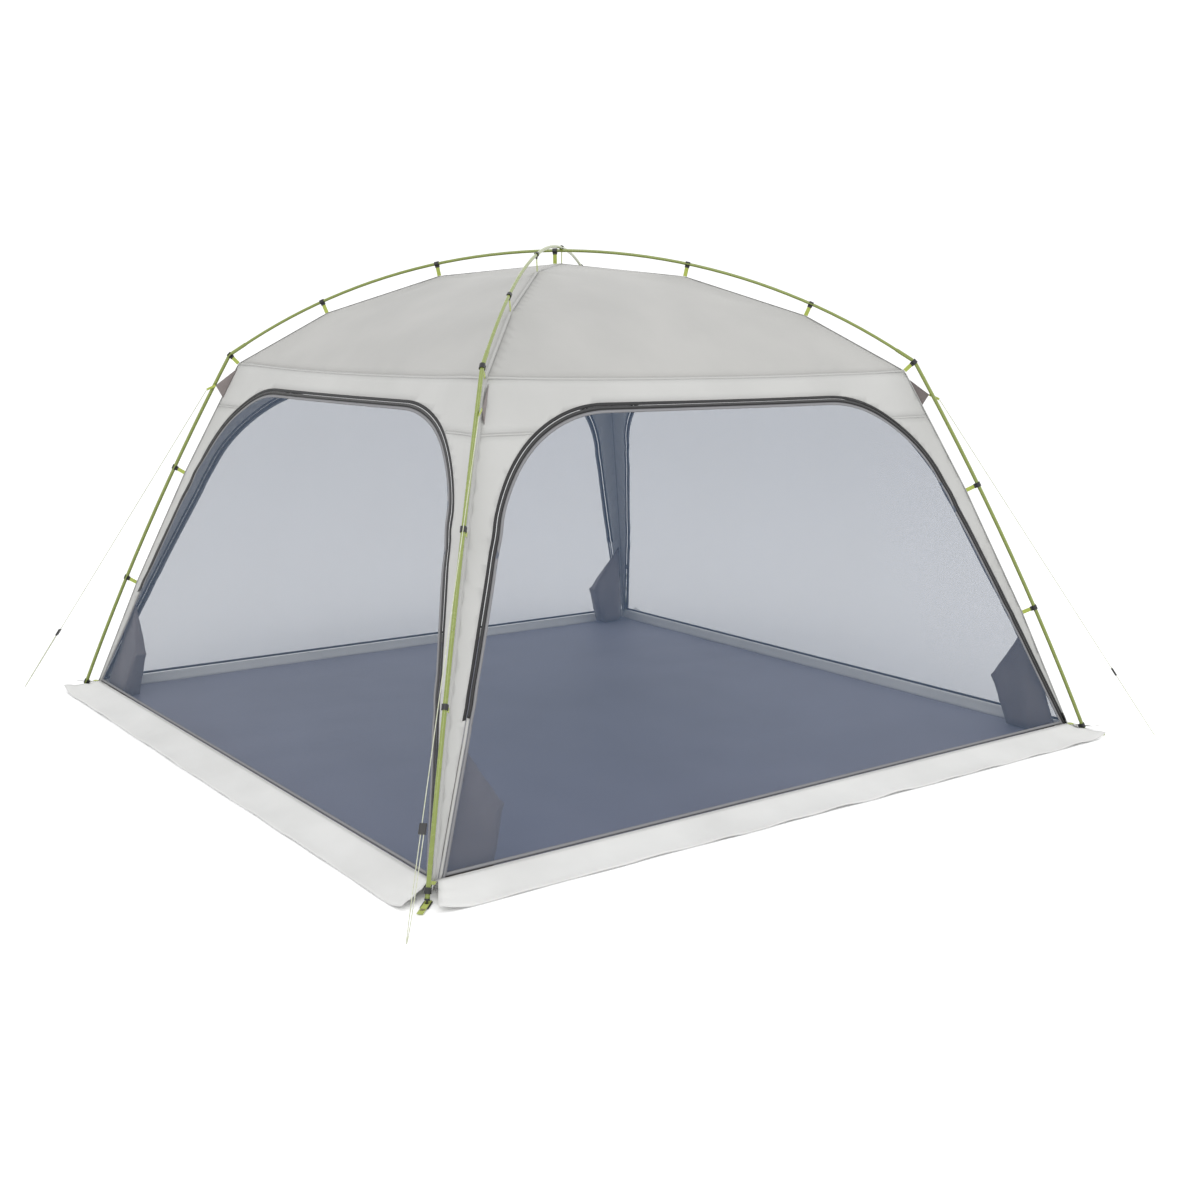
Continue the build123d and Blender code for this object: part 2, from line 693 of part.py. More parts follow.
with BuildPart() as shock_cords:
    add(place(cord_in(ROOF_ARCS["a"]), POLE_A[:1]).part)
    add(place(cord_in(ROOF_ARCS["b"]), POLE_B[:1]).part)
save(shock_cords, "shock_cords")
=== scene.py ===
from math import atan2, cos, exp, hypot, pi, radians, sin

import bmesh
import bpy
from mathutils import Matrix, Vector, kdtree, noise


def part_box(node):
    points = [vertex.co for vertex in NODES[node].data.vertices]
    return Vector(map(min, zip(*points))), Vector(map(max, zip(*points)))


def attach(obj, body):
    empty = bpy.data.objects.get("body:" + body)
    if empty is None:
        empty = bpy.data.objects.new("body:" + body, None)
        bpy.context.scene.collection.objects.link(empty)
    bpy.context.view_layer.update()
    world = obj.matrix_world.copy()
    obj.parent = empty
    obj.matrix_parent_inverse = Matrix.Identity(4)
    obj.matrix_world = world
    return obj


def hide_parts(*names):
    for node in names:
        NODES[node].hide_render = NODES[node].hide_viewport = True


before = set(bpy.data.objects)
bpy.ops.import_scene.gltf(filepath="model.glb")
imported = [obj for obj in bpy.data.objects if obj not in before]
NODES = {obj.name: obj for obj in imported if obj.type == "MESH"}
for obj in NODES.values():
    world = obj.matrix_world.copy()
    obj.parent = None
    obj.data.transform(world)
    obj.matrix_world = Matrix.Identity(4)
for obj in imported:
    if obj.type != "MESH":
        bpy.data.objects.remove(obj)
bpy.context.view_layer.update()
scene = bpy.context.scene

# A screen house: a canopy of four roof panels hung by clips under two crossed
# poles, with an arch-shaped netting door in each wall.  Metres.  Every side is
# the front side, which faces -Y, turned in quarter turns.
SIDES = {"front": 0, "right": 90, "back": 180, "left": 270}
CORNERS = {"front_left": 225, "front_right": 315, "back_right": 45, "back_left": 135}
TURNS = list(SIDES.values())

# ---- sizes -------------------------------------------------------------------
CLOTH = 0.0009            # thickness of the woven cloth
CLOTH_STEP = 0.035        # spacing of the cut lines across a sheet
NET_STEP = CLOTH_STEP * 1.4
SEED_FIRST, SEED_STEP = 1.3, 3.7   # one seed for each side, so no two hang alike
FOLD_SOFTNESS = 0.34      # length of profile that a fold is rounded over at mid panel
SWELL = 0.007             # slow undulation of a tensioned panel
CLIP_FOLD = 0.009         # folds that run out from a clip
CLIP_FOLD_REACH = 0.13
CLIP_FOLD_COUNT = 6
NET_SWELL = 0.012
NET_EDGE = 0.18           # the netting is flat within this of its edge

DOOR_FOOT = 1.600         # half width at the sill
DOOR_SHOULDER = 0.983     # half width where the sides would meet the top
DOOR_TOP = 1.475
DOOR_ARCH = 0.620
SEWN_HEIGHT = 0.500       # the left side is sewn below this, and zipped above
SILL_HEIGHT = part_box("floor_sill")[1].z
BAND_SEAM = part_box("leg_panel_front_left")[1].z

COIL = 0.0095
COIL_CROWN = 0.0016
BINDING = 0.011
BINDING_INSET = 0.019     # middle of the grey binding, inside the zip's centre
BINDING_LIFT = 0.0004
HEM = 0.010
HEM_RISE = 0.011          # middle of the hem above the sill
HEM_END = 0.030           # hem stops this far inside the door's foot
SEAM = 0.011
CROSS_SEAM = SEAM * 0.8   # level seams
SEAM_LIFT = 0.0006
LIFT = 0.0011             # tapes lie this far proud of the cloth

GUY_LINE = 0.003
WING_TIP = (1.620, 1.482)       # reach along the diagonal, height
GUY_SIDE = 0.014

# ---- camera --------------------------------------------------------------------
CAMERA_SPOT = Vector((-3.787, -5.401, 1.753))
CAMERA_YAW, CAMERA_PITCH, CAMERA_ROLL = radians(53.364), radians(-10.555), radians(0.405)
CAMERA_LENS, SENSOR = 43.69, 36.0


def set_camera():
    """Level view of the near corner from standing height, a little above the doors' tops."""
    level = cos(CAMERA_PITCH)
    ahead = Vector((level * cos(CAMERA_YAW), level * sin(CAMERA_YAW), sin(CAMERA_PITCH)))
    across = ahead.cross(Vector((0, 0, 1))).normalized()
    above = across.cross(ahead)
    right = across * cos(CAMERA_ROLL) + above * sin(CAMERA_ROLL)
    up = above * cos(CAMERA_ROLL) - across * sin(CAMERA_ROLL)
    data = bpy.data.cameras.new("camera")
    data.lens, data.sensor_width = CAMERA_LENS, SENSOR
    camera = bpy.data.objects.new("camera", data)
    camera.matrix_world = Matrix.Translation(CAMERA_SPOT) @ Matrix((right, up, -ahead)).transposed().to_4x4()
    scene.collection.objects.link(camera)
    scene.camera = camera


set_camera()


# ---- guy lines -------------------------------------------------------------------
GUY_ROUTE = [            # reach along the diagonal, off the diagonal, height
    (1.66570, 0.014, 1.45953),
    (2.6660, 0.014, 0.0025),
    (2.6660, 0.026, 0.0025),
    (2.47357, 0.026, 0.28280),
]


def turned(point, turn):
    return Matrix.Rotation(radians(turn), 3, "Z") @ Vector(point)


def guy_line(corner, turn):
    """One line from its wing's loop to the ground and back up to its tensioner."""
    curve = bpy.data.curves.new(f"guy_line_cord_{corner}", "CURVE")
    curve.dimensions = "3D"
    curve.bevel_depth = 1.0
    curve.bevel_resolution = 3
    curve.resolution_u = 24
    curve.use_fill_caps = True
    spline = curve.splines.new("NURBS")
    spline.points.add(len(GUY_ROUTE) - 1)
    for point, spot in zip(spline.points, GUY_ROUTE):
        point.co = (*turned(spot, turn), 1)
        point.radius = GUY_LINE / 2
    spline.order_u = 3
    spline.use_endpoint_u = True
    line = bpy.data.objects.new(curve.name, curve)
    scene.collection.objects.link(line)
    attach(line, "frame")
    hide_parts(f"guy_line_{corner}")
    return line


guy_lines = [guy_line(corner, turn) for corner, turn in CORNERS.items()]


# ---- node groups and materials -----------------------------------------------------
def new_group(name, inputs, outputs):
    group = bpy.data.node_groups.new(name, "ShaderNodeTree")
    for label, kind, value in inputs:
        socket = group.interface.new_socket(name=label, in_out="INPUT", socket_type=kind)
        socket.default_value = value
    for label, kind in outputs:
        group.interface.new_socket(name=label, in_out="OUTPUT", socket_type=kind)
    return group, group.nodes.new("NodeGroupInput"), group.nodes.new("NodeGroupOutput")


def make_weave():
    """Plain weave with slow cloudiness: a colour, and a height for bump."""
    group, inputs, outputs = new_group(
        "weave",
        [("Colour", "NodeSocketColor", (0.5, 0.5, 0.5, 1)), ("Shade", "NodeSocketColor", (0.4, 0.4, 0.4, 1)),
         ("Threads", "NodeSocketFloat", 900.0), ("Cloud", "NodeSocketFloat", 3.0)],
        [("Colour", "NodeSocketColor"), ("Height", "NodeSocketFloat")])
    nodes, links = group.nodes, group.links
    place = nodes.new("ShaderNodeTexCoord")
    cloud = nodes.new("ShaderNodeTexNoise")
    cloud.inputs["Detail"].default_value = 4
    links.new(place.outputs["Object"], cloud.inputs["Vector"])
    links.new(inputs.outputs["Cloud"], cloud.inputs["Scale"])
    spread = nodes.new("ShaderNodeMapRange")
    spread.inputs["From Min"].default_value, spread.inputs["From Max"].default_value = 0.32, 0.68
    links.new(cloud.outputs["Fac"], spread.inputs["Value"])
    mix = nodes.new("ShaderNodeMix")
    mix.data_type = "RGBA"
    links.new(spread.outputs["Result"], mix.inputs["Factor"])
    links.new(inputs.outputs["Shade"], mix.inputs["A"])
    links.new(inputs.outputs["Colour"], mix.inputs["B"])
    links.new(mix.outputs["Result"], outputs.inputs["Colour"])
    threads = nodes.new("ShaderNodeTexNoise")
    threads.inputs["Detail"].default_value = 1
    links.new(place.outputs["Object"], threads.inputs["Vector"])
    links.new(inputs.outputs["Threads"], threads.inputs["Scale"])
    crumple = nodes.new("ShaderNodeTexNoise")
    crumple.inputs["Scale"].default_value = 14
    crumple.inputs["Detail"].default_value = 5
    links.new(place.outputs["Object"], crumple.inputs["Vector"])
    total = nodes.new("ShaderNodeMath")
    total.operation = "MULTIPLY_ADD"
    total.inputs[1].default_value = 0.12
    links.new(threads.outputs["Fac"], total.inputs[0])
    links.new(crumple.outputs["Fac"], total.inputs[2])
    links.new(total.outputs["Value"], outputs.inputs["Height"])
    return group


def make_stitch():
    """Two rows of stitches along a tape's own length: a mask and a height."""
    group, inputs, outputs = new_group(
        "stitch_rows", [("Pitch", "NodeSocketFloat", 250.0), ("Row", "NodeSocketFloat", 0.3)],
        [("Mask", "NodeSocketFloat")])
    nodes, links = group.nodes, group.links

    def step(operation, first, second=None):
        node = nodes.new("ShaderNodeMath")
        node.operation = operation
        for socket, value in zip(node.inputs, (first, second)):
            if hasattr(value, "links"):
                links.new(value, socket)
            elif value is not None:
                socket.default_value = value
        return node.outputs["Value"]

    along = nodes.new("ShaderNodeUVMap")
    split = nodes.new("ShaderNodeSeparateXYZ")
    links.new(along.outputs["UV"], split.inputs["Vector"])
    stitches = step("MULTIPLY", split.outputs["X"], inputs.outputs["Pitch"])
    dash = step("GREATER_THAN", step("FRACT", stitches), 0.35)
    off_middle = step("ABSOLUTE", step("SUBTRACT", split.outputs["Y"], 0.5))
    near_row = step("LESS_THAN", step("ABSOLUTE", step("SUBTRACT", off_middle, inputs.outputs["Row"])), 0.05)
    links.new(step("MULTIPLY", dash, near_row), outputs.inputs["Mask"])
    return group


def make_ribs():
    """Ribs across a tape or coil, from its own length."""
    group, inputs, outputs = new_group(
        "ribs", [("Pitch", "NodeSocketFloat", 400.0)], [("Height", "NodeSocketFloat")])
    nodes, links = group.nodes, group.links
    along = nodes.new("ShaderNodeUVMap")
    split = nodes.new("ShaderNodeSeparateXYZ")
    links.new(along.outputs["UV"], split.inputs["Vector"])
    turns = nodes.new("ShaderNodeMath")
    turns.operation = "MULTIPLY"
    links.new(split.outputs["X"], turns.inputs[0])
    links.new(inputs.outputs["Pitch"], turns.inputs[1])
    wave = nodes.new("ShaderNodeMath")
    wave.operation = "PINGPONG"
    wave.inputs[1].default_value = 1
    links.new(turns.outputs["Value"], wave.inputs[0])
    links.new(wave.outputs["Value"], outputs.inputs["Height"])
    return group


WEAVE, STITCH, RIBS = make_weave(), make_stitch(), make_ribs()


def material(name, roughness, metallic=0.0, coat=0.0, sheen=0.0):
    """A new material and its Principled shader."""
    made = bpy.data.materials.new(name)
    made.use_nodes = True
    shader = made.node_tree.nodes["Principled BSDF"]
    shader.inputs["Roughness"].default_value = roughness
    shader.inputs["Metallic"].default_value = metallic
    shader.inputs["Coat Weight"].default_value = coat
    shader.inputs["Sheen Weight"].default_value = sheen
    return made, shader


def add_bump(made, shader, height, strength, distance):
    bump = made.node_tree.nodes.new("ShaderNodeBump")
    bump.inputs["Strength"].default_value = strength
    bump.inputs["Distance"].default_value = distance
    made.node_tree.links.new(height, bump.inputs["Height"])
    made.node_tree.links.new(bump.outputs["Normal"], shader.inputs["Normal"])


def cloth_finish(name, colour, shade, roughness=0.8, cloud=2.5, bump=0.35, sheen=0.15, alpha=1.0):
    made, shader = material(name, roughness, sheen=sheen)
    weave = made.node_tree.nodes.new("ShaderNodeGroup")
    weave.node_tree = WEAVE
    weave.inputs["Colour"].default_value = (*colour, 1)
    weave.inputs["Shade"].default_value = (*shade, 1)
    weave.inputs["Cloud"].default_value = cloud
    made.node_tree.links.new(weave.outputs["Colour"], shader.inputs["Base Color"])
    add_bump(made, shader, weave.outputs["Height"], bump, 0.002)
    shader.inputs["Alpha"].default_value = alpha
    return made


def tape_finish(name, colour, thread, roughness=0.7, pitch=250.0):
    """Folded tape with two rows of stitches in a thread of its own colour."""
    made, shader = material(name, roughness)
    nodes, links = made.node_tree.nodes, made.node_tree.links
    stitch = nodes.new("ShaderNodeGroup")
    stitch.node_tree = STITCH
    stitch.inputs["Pitch"].default_value = pitch
    mix = nodes.new("ShaderNodeMix")
    mix.data_type = "RGBA"
    mix.inputs["A"].default_value = (*colour, 1)
    mix.inputs["B"].default_value = (*thread, 1)
    links.new(stitch.outputs["Mask"], mix.inputs["Factor"])
    links.new(mix.outputs["Result"], shader.inputs["Base Color"])
    add_bump(made, shader, stitch.outputs["Mask"], 0.5, 0.0006)
    return made


def ribbed_finish(name, colour, roughness, pitch, distance):
    """Woven webbing, or a zip's coil."""
    made, shader = material(name, roughness)
    shader.inputs["Base Color"].default_value = (*colour, 1)
    ribs = made.node_tree.nodes.new("ShaderNodeGroup")
    ribs.node_tree = RIBS
    ribs.inputs["Pitch"].default_value = pitch
    add_bump(made, shader, ribs.outputs["Height"], 0.6, distance)
    return made


def worn_finish(name, colour, shade, roughness, metallic=0.0, coat=0.0, scale=30.0):
    """Paint, plastic or metal with faint mottling and scuffs in its gloss."""
    made, shader = material(name, roughness, metallic, coat)
    nodes, links = made.node_tree.nodes, made.node_tree.links
    place = nodes.new("ShaderNodeTexCoord")
    scuff = nodes.new("ShaderNodeTexNoise")
    scuff.inputs["Scale"].default_value = scale
    scuff.inputs["Detail"].default_value = 6
    links.new(place.outputs["Object"], scuff.inputs["Vector"])
    mix = nodes.new("ShaderNodeMix")
    mix.data_type = "RGBA"
    mix.inputs["A"].default_value = (*shade, 1)
    mix.inputs["B"].default_value = (*colour, 1)
    links.new(scuff.outputs["Fac"], mix.inputs["Factor"])
    links.new(mix.outputs["Result"], shader.inputs["Base Color"])
    gloss = nodes.new("ShaderNodeMapRange")
    gloss.inputs["To Min"].default_value = roughness * 0.75
    gloss.inputs["To Max"].default_value = roughness * 1.3
    links.new(scuff.outputs["Fac"], gloss.inputs["Value"])
    links.new(gloss.outputs["Result"], shader.inputs["Roughness"])
    return made


ROOF = cloth_finish("roof_polyester", (0.375, 0.372, 0.36), (0.34, 0.338, 0.328))
WALL = cloth_finish("wall_polyester", (0.435, 0.435, 0.425), (0.395, 0.395, 0.385))
SKIRT = cloth_finish("skirt_polyester", (0.64, 0.64, 0.63), (0.57, 0.57, 0.56), bump=0.5)
FLOOR = cloth_finish("groundsheet", (0.165, 0.170, 0.235), (0.140, 0.143, 0.200), roughness=0.55, cloud=1.4)
# Painted shade: the pouch cloth's dark warm grey is the light grey cloth as it looks in the shade inside the
# corners.
PAINTED_SHADE_CLOTH = cloth_finish("pouch_cloth_painted_shade", (0.185, 0.160, 0.155), (0.145, 0.125, 0.122), cloud=6)
NET = cloth_finish("netting", (0.062, 0.100, 0.170), (0.054, 0.090, 0.155), roughness=0.9, bump=0.1,
                   alpha=0.38)
SEAM_TAPE = tape_finish("seam_tape", (0.40, 0.40, 0.39), (0.30, 0.30, 0.29))
BINDING_TAPE = tape_finish("binding_tape", (0.20, 0.20, 0.21), (0.10, 0.10, 0.105))
ZIP_TAPE = cloth_finish("zip_tape", (0.011, 0.011, 0.012), (0.007, 0.007, 0.008), roughness=0.6, sheen=0.0)
ZIP_COIL = ribbed_finish("zip_coil", (0.012, 0.012, 0.013), 0.35, 500.0, 0.0008)
LIME_WEB = cloth_finish("lime_webbing", (0.36, 0.42, 0.075), (0.28, 0.34, 0.06), roughness=0.7, cloud=20,
                        bump=0.7)
LIME_PAINT = worn_finish("lime_paint", (0.20, 0.25, 0.045), (0.16, 0.20, 0.035), 0.26, coat=0.5)
BLACK = worn_finish("black_plastic", (0.016, 0.016, 0.017), (0.010, 0.010, 0.011), 0.42)
BLACK_METAL = worn_finish("black_enamel", (0.014, 0.014, 0.015), (0.022, 0.022, 0.022), 0.3, metallic=0.4)
EYELET = worn_finish("dull_brass", (0.48, 0.42, 0.25), (0.36, 0.32, 0.2), 0.4, metallic=1.0)
FERRULE = worn_finish("bare_aluminium", (0.72, 0.72, 0.73), (0.62, 0.62, 0.63), 0.35, metallic=1.0)
WHITE_CORD = cloth_finish("stretch_cord", (0.74, 0.74, 0.72), (0.6, 0.6, 0.58), cloud=60)
GUY_CORD = cloth_finish("guy_cord", (0.40, 0.43, 0.27), (0.52, 0.53, 0.46), cloud=90)

for line in guy_lines:
    line.data.materials.append(GUY_CORD)


def finish_node(node, made):
    data = NODES[node].data
    data.materials.clear()
    data.materials.append(made)


for node in ("leg_poles_lower", "leg_poles_upper", "elbow_tubes", "roof_pole_a", "roof_pole_b"):
    finish_node(node, LIME_PAINT)
for node in ("clip_hooks", "foot_hooks", "foot_pads", "pole_tips"):
    finish_node(node, BLACK)
for node in ("clip_straps", "corner_tabs"):
    finish_node(node, LIME_WEB)
finish_node("ferrules", FERRULE)
finish_node("peg_eyelets", EYELET)
finish_node("shock_cords", WHITE_CORD)
finish_node("stretch_loops", WHITE_CORD)
for side in SIDES:
    finish_node(f"zip_slider_{side}", BLACK_METAL)
for corner in CORNERS:
    finish_node(f"tensioner_{corner}", BLACK)


# ---- the canopy's profile, read up its corner seam ----------------------------------
def corner_seam():
    """Outer (half width, height) points of the front left corner seam, from the sill up."""
    found = set()
    for node in ("leg_panel_front_left", "eave_band_front", "roof_panel_front"):
        for vertex in NODES[node].data.vertices:
            if abs(vertex.co.x - vertex.co.y) < 1e-5:
                found.add((round(-vertex.co.x, 4), round(vertex.co.z, 4)))
    levels = sorted(found, key=lambda point: point[1])
    outer = []
    for half, height in levels:
        shadowed = any(0.0005 < other[0] - half < 0.002 and 0.0005 < other[1] - height < 0.002
                       for other in levels)
        if not shadowed and not any(hypot(half - p[0], height - p[1]) < 0.003 for p in outer):
            outer.append((half, height))
    return outer


PROFILE = corner_seam()
DISTANCES = [0.0]
for low, high in zip(PROFILE, PROFILE[1:]):
    DISTANCES.append(DISTANCES[-1] + hypot(high[0] - low[0], high[1] - low[1]))


def blend_points(low, high, share):
    return low[0] + (high[0] - low[0]) * share, low[1] + (high[1] - low[1]) * share


def profile_at(distance):
    """(half width, height) at a distance up the profile."""
    for number in range(len(PROFILE) - 1):
        start, end = DISTANCES[number], DISTANCES[number + 1]
        if distance <= end or number == len(PROFILE) - 2:
            return blend_points(PROFILE[number], PROFILE[number + 1], (distance - start) / (end - start))


def distance_of(height):
    for number in range(len(PROFILE) - 1):
        low, high = PROFILE[number][1], PROFILE[number + 1][1]
        if height <= high or number == len(PROFILE) - 2:
            share = (height - low) / (high - low)
            return DISTANCES[number] + share * (DISTANCES[number + 1] - DISTANCES[number])


CLIP_DISTANCES = [distance for point, distance in zip(PROFILE, DISTANCES)
                  if abs(point[1] - BAND_SEAM) > 0.01 and 0 < distance < DISTANCES[-1]]


def folds(from_seam, distance, seed):
    """Height of the folds that run out from the clips into a panel."""
    total = 0.0
    for number, clip in enumerate(CLIP_DISTANCES):
        reach = hypot(from_seam, distance - clip) / CLIP_FOLD_REACH
        way = atan2(distance - clip, from_seam + 1e-6)
        total += sin(CLIP_FOLD_COUNT * way + seed + number) * reach * exp(1 - reach)
    return total * CLIP_FOLD * 0.5


def draped(x, height, seed, lift=0.0, extra=0.0):
    """Where a point of the front side's flat outline lies on the hung canopy."""
    distance = distance_of(height)
    half = profile_at(distance)[0]
    across = min(abs(x) / max(half, 1e-6), 1.0)
    soft = min(FOLD_SOFTNESS * (1 - across ** 2), 2 * distance, 2 * (DISTANCES[-1] - distance))
    samples = [profile_at(distance + soft * share / 2) for share in (-1, -0.66, -0.33, 0, 0.33, 0.66, 1)]
    reach = sum(point[0] for point in samples) / len(samples)
    top = sum(point[1] for point in samples) / len(samples)
    before, after = profile_at(max(distance - 0.02, 0)), profile_at(min(distance + 0.02, DISTANCES[-1]))
    run, rise = before[0] - after[0], after[1] - before[1]
    size = hypot(run, rise)
    free = 1 - across ** 6
    ends = min(distance / 0.12, 1) * min((DISTANCES[-1] - distance) / 0.2, 1)
    swell = noise.noise(Vector((x * 1.3, distance * 1.7, seed))) * SWELL
    proud = (swell + folds(half - abs(x), distance, seed)) * free * ends + lift + extra
    return Vector((x, -(reach + proud * rise / size), top + proud * run / size))


# ---- making sheets from the frame's own outlines --------------------------------------
FRONT, LEFT = Vector((0, -1, 0)), Vector((-1, 0, 0))


def faces_out(face, ways):
    """True on the outer skin of a sheet whose sides face the given ways."""
    return any(face.normal.dot(way) > 0.1 and face.normal.dot(way) + face.normal.z > 0.85 for way in ways)


def skin_of(node, ways=(FRONT,), turn=0):
    """The outer skin of a cloth node, turned to the front, as one n-gon for each flat."""
    mesh = bmesh.new()
    mesh.from_mesh(NODES[node].data)
    bmesh.ops.remove_doubles(mesh, verts=mesh.verts, dist=1e-5)
    mesh.normal_update()
    inside = [face for face in mesh.faces if not faces_out(face, ways)]
    bmesh.ops.delete(mesh, geom=inside, context="FACES")
    bmesh.ops.rotate(mesh, verts=mesh.verts, cent=(0, 0, 0), matrix=Matrix.Rotation(radians(turn), 3, "Z"))
    bmesh.ops.dissolve_limit(mesh, angle_limit=radians(0.2), verts=mesh.verts, edges=mesh.edges)
    return mesh


def cut_across(mesh, way, step):
    """Cut lines at even steps along one direction."""
    spots = [vertex.co.dot(way) for vertex in mesh.verts]
    count = int((max(spots) - min(spots)) / step)
    for number in range(1, count + 1):
        spot = min(spots) + number * (max(spots) - min(spots)) / (count + 1)
        bmesh.ops.bisect_plane(mesh, geom=mesh.verts[:] + mesh.edges[:] + mesh.faces[:], dist=1e-6,
                               plane_co=way * spot, plane_no=way)


def edge_distance(mesh):
    """How far each vertex is from the sheet's open edge."""
    rim = [vertex for vertex in mesh.verts if vertex.is_boundary]
    tree = kdtree.KDTree(len(rim))
    for number, vertex in enumerate(rim):
        tree.insert(vertex.co, number)
    tree.balance()
    return {vertex: tree.find(vertex.co)[2] for vertex in mesh.verts}


def finish_piece(mesh, name, made, body, thickness):
    """A bmesh made into a riding object, given a wall if it is a sheet."""
    bmesh.ops.remove_doubles(mesh, verts=mesh.verts, dist=1e-6)
    data = bpy.data.meshes.new(name)
    mesh.to_mesh(data)
    mesh.free()
    data.materials.append(made)
    data.polygons.foreach_set("use_smooth", [True] * len(data.polygons))
    piece = bpy.data.objects.new(name, data)
    scene.collection.objects.link(piece)
    if thickness:
        wall = piece.modifiers.new("wall", "SOLIDIFY")
        wall.thickness = thickness
        wall.offset = -1
    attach(piece, body)
    return piece


def sheet_facts(mesh):
    """(width, length, area) of a skin before it is draped."""
    xs = [vertex.co.x for vertex in mesh.verts]
    heights = [vertex.co.z for vertex in mesh.verts]
    length = distance_of(max(heights)) - distance_of(min(heights))
    return max(xs) - min(xs), length, sum(face.calc_area() for face in mesh.faces)


def drape_skin(mesh, seed, extra=None):
    extra = extra or {}
    for vertex in mesh.verts:
        vertex.co = draped(vertex.co.x, vertex.co.z, seed, extra=extra.get(vertex, 0.0))


def turn_mesh(mesh, turn):
    bmesh.ops.rotate(mesh, verts=mesh.verts, cent=(0, 0, 0), matrix=Matrix.Rotation(radians(turn), 3, "Z"))


def side_seed(number):
    return SEED_STEP * number + SEED_FIRST


def add_side(whole, skin, number):
    """Drape a copy of a front skin, turn it to one side and add it to a mesh."""
    part = skin.copy()
    drape_skin(part, side_seed(number))
    turn_mesh(part, TURNS[number])
    scratch = bpy.data.meshes.new("scratch")
    part.to_mesh(scratch)
    part.free()
    whole.from_mesh(scratch)
    bpy.data.meshes.remove(scratch)


def canopy_sheet(base, node, name, made, seed, turn, body="frame", thickness=CLOTH, net=False):
    """One hung sheet of one side, made from the front side's cut skin."""
    mesh = base.copy()
    width, length, area = sheet_facts(mesh)
    extra = {}
    if net:
        for vertex, away in edge_distance(mesh).items():
            ease = min(away / NET_EDGE, 1.0)
            wave = noise.noise(Vector((vertex.co.x * 0.9, vertex.co.z * 1.2, seed + 9)))
            extra[vertex] = wave * NET_SWELL * ease * ease
    drape_skin(mesh, seed, extra)
    turn_mesh(mesh, turn)
    piece = finish_piece(mesh, name, made, body, thickness)
    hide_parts(node)
    return piece


def cut_skin(node, step, way_up, ways=(FRONT,)):
    mesh = skin_of(node, ways)
    cut_across(mesh, Vector((1, 0, 0)), step)
    cut_across(mesh, way_up, step)
    return mesh


UP, BACK = Vector((0, 0, 1)), Vector((0, 1, 0))
roof_skin = cut_skin("roof_panel_front", CLOTH_STEP, BACK)
band_skin = cut_skin("eave_band_front", CLOTH_STEP, UP)
net_skin = cut_skin("door_mesh_front", NET_STEP, UP)
zip_skin = cut_skin("door_zip_front", CLOTH_STEP, UP)

for number, (side, turn) in enumerate(SIDES.items()):
    seed = side_seed(number)
    canopy_sheet(roof_skin, f"roof_panel_{side}", f"roof_cloth_{side}", ROOF, seed, turn)
    canopy_sheet(band_skin, f"eave_band_{side}", f"band_cloth_{side}", WALL, seed, turn)
    canopy_sheet(net_skin, f"door_mesh_{side}", f"door_netting_{side}", NET, seed, turn,
                 body=f"door_{side}", thickness=0, net=True)
    canopy_sheet(zip_skin, f"door_zip_{side}", f"door_tape_{side}", ZIP_TAPE, seed, turn,
                 body=f"door_{side}")


# ---- leg panels: each wraps one corner, so its two wings are hung apart -----------------
def leg_skins():
    """The front wing and the left wing of the front left leg, both facing front."""
    front = cut_skin("leg_panel_front_left", CLOTH_STEP, UP)
    left = skin_of("leg_panel_front_left", (LEFT,), turn=90)
    cut_across(left, Vector((1, 0, 0)), CLOTH_STEP)
    cut_across(left, UP, CLOTH_STEP)
    return front, left


front_wing, left_wing = leg_skins()


def leg_panel(number, corner):
    """Both wings, hung on the two sides that meet at the corner, as one wrapped sheet."""
    whole = bmesh.new()
    area = 0.0
    for skin, side in ((front_wing, number), (left_wing, (number - 1) % len(TURNS))):
        area += sheet_facts(skin)[2]
        add_side(whole, skin, side)
    bmesh.ops.remove_doubles(whole, verts=whole.verts, dist=0.0006)
    piece = finish_piece(whole, f"leg_cloth_{corner}", WALL, "frame", CLOTH)
    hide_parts(f"leg_panel_{corner}")
    length = distance_of(BAND_SEAM)


for number, corner in enumerate(CORNERS):
    leg_panel(number, corner)


# ---- tapes, bindings and seams that follow the cloth ------------------------------------
def arch_line(inset, step=0.02):
    """The door's outline, inset, from the left sill up and over to the right, as (x, height)."""
    lean = Vector((DOOR_SHOULDER - DOOR_FOOT, DOOR_TOP - SILL_HEIGHT)).normalized()
    foot = Vector((DOOR_FOOT, SILL_HEIGHT)) + Vector((-lean.y, lean.x)) * inset
    top = DOOR_TOP - inset
    radius = DOOR_ARCH - inset
    across = Vector((-lean.y, lean.x))
    run = (top - radius - foot.y - across.y * radius) / lean.y
    arc_start = foot + lean * run
    centre = arc_start + across * radius
    line = []
    count = int(run / step)
    for number in range(count + 1):
        line.append(foot + lean * run * number / count)
    first, last = atan2(-across.y, -across.x), pi / 2
    turns = int((last - first) * radius / step)
    for number in range(1, turns + 1):
        angle = first + (last - first) * number / turns
        line.append(centre + Vector((cos(angle), sin(angle))) * radius)
    right = [(point.x, point.y) for point in line]
    flat = int(2 * centre.x / step)
    top_run = [(centre.x - 2 * centre.x * number / flat, top) for number in range(1, flat)]
    return [(-x, height) for x, height in right] + top_run[::-1] + right[::-1]


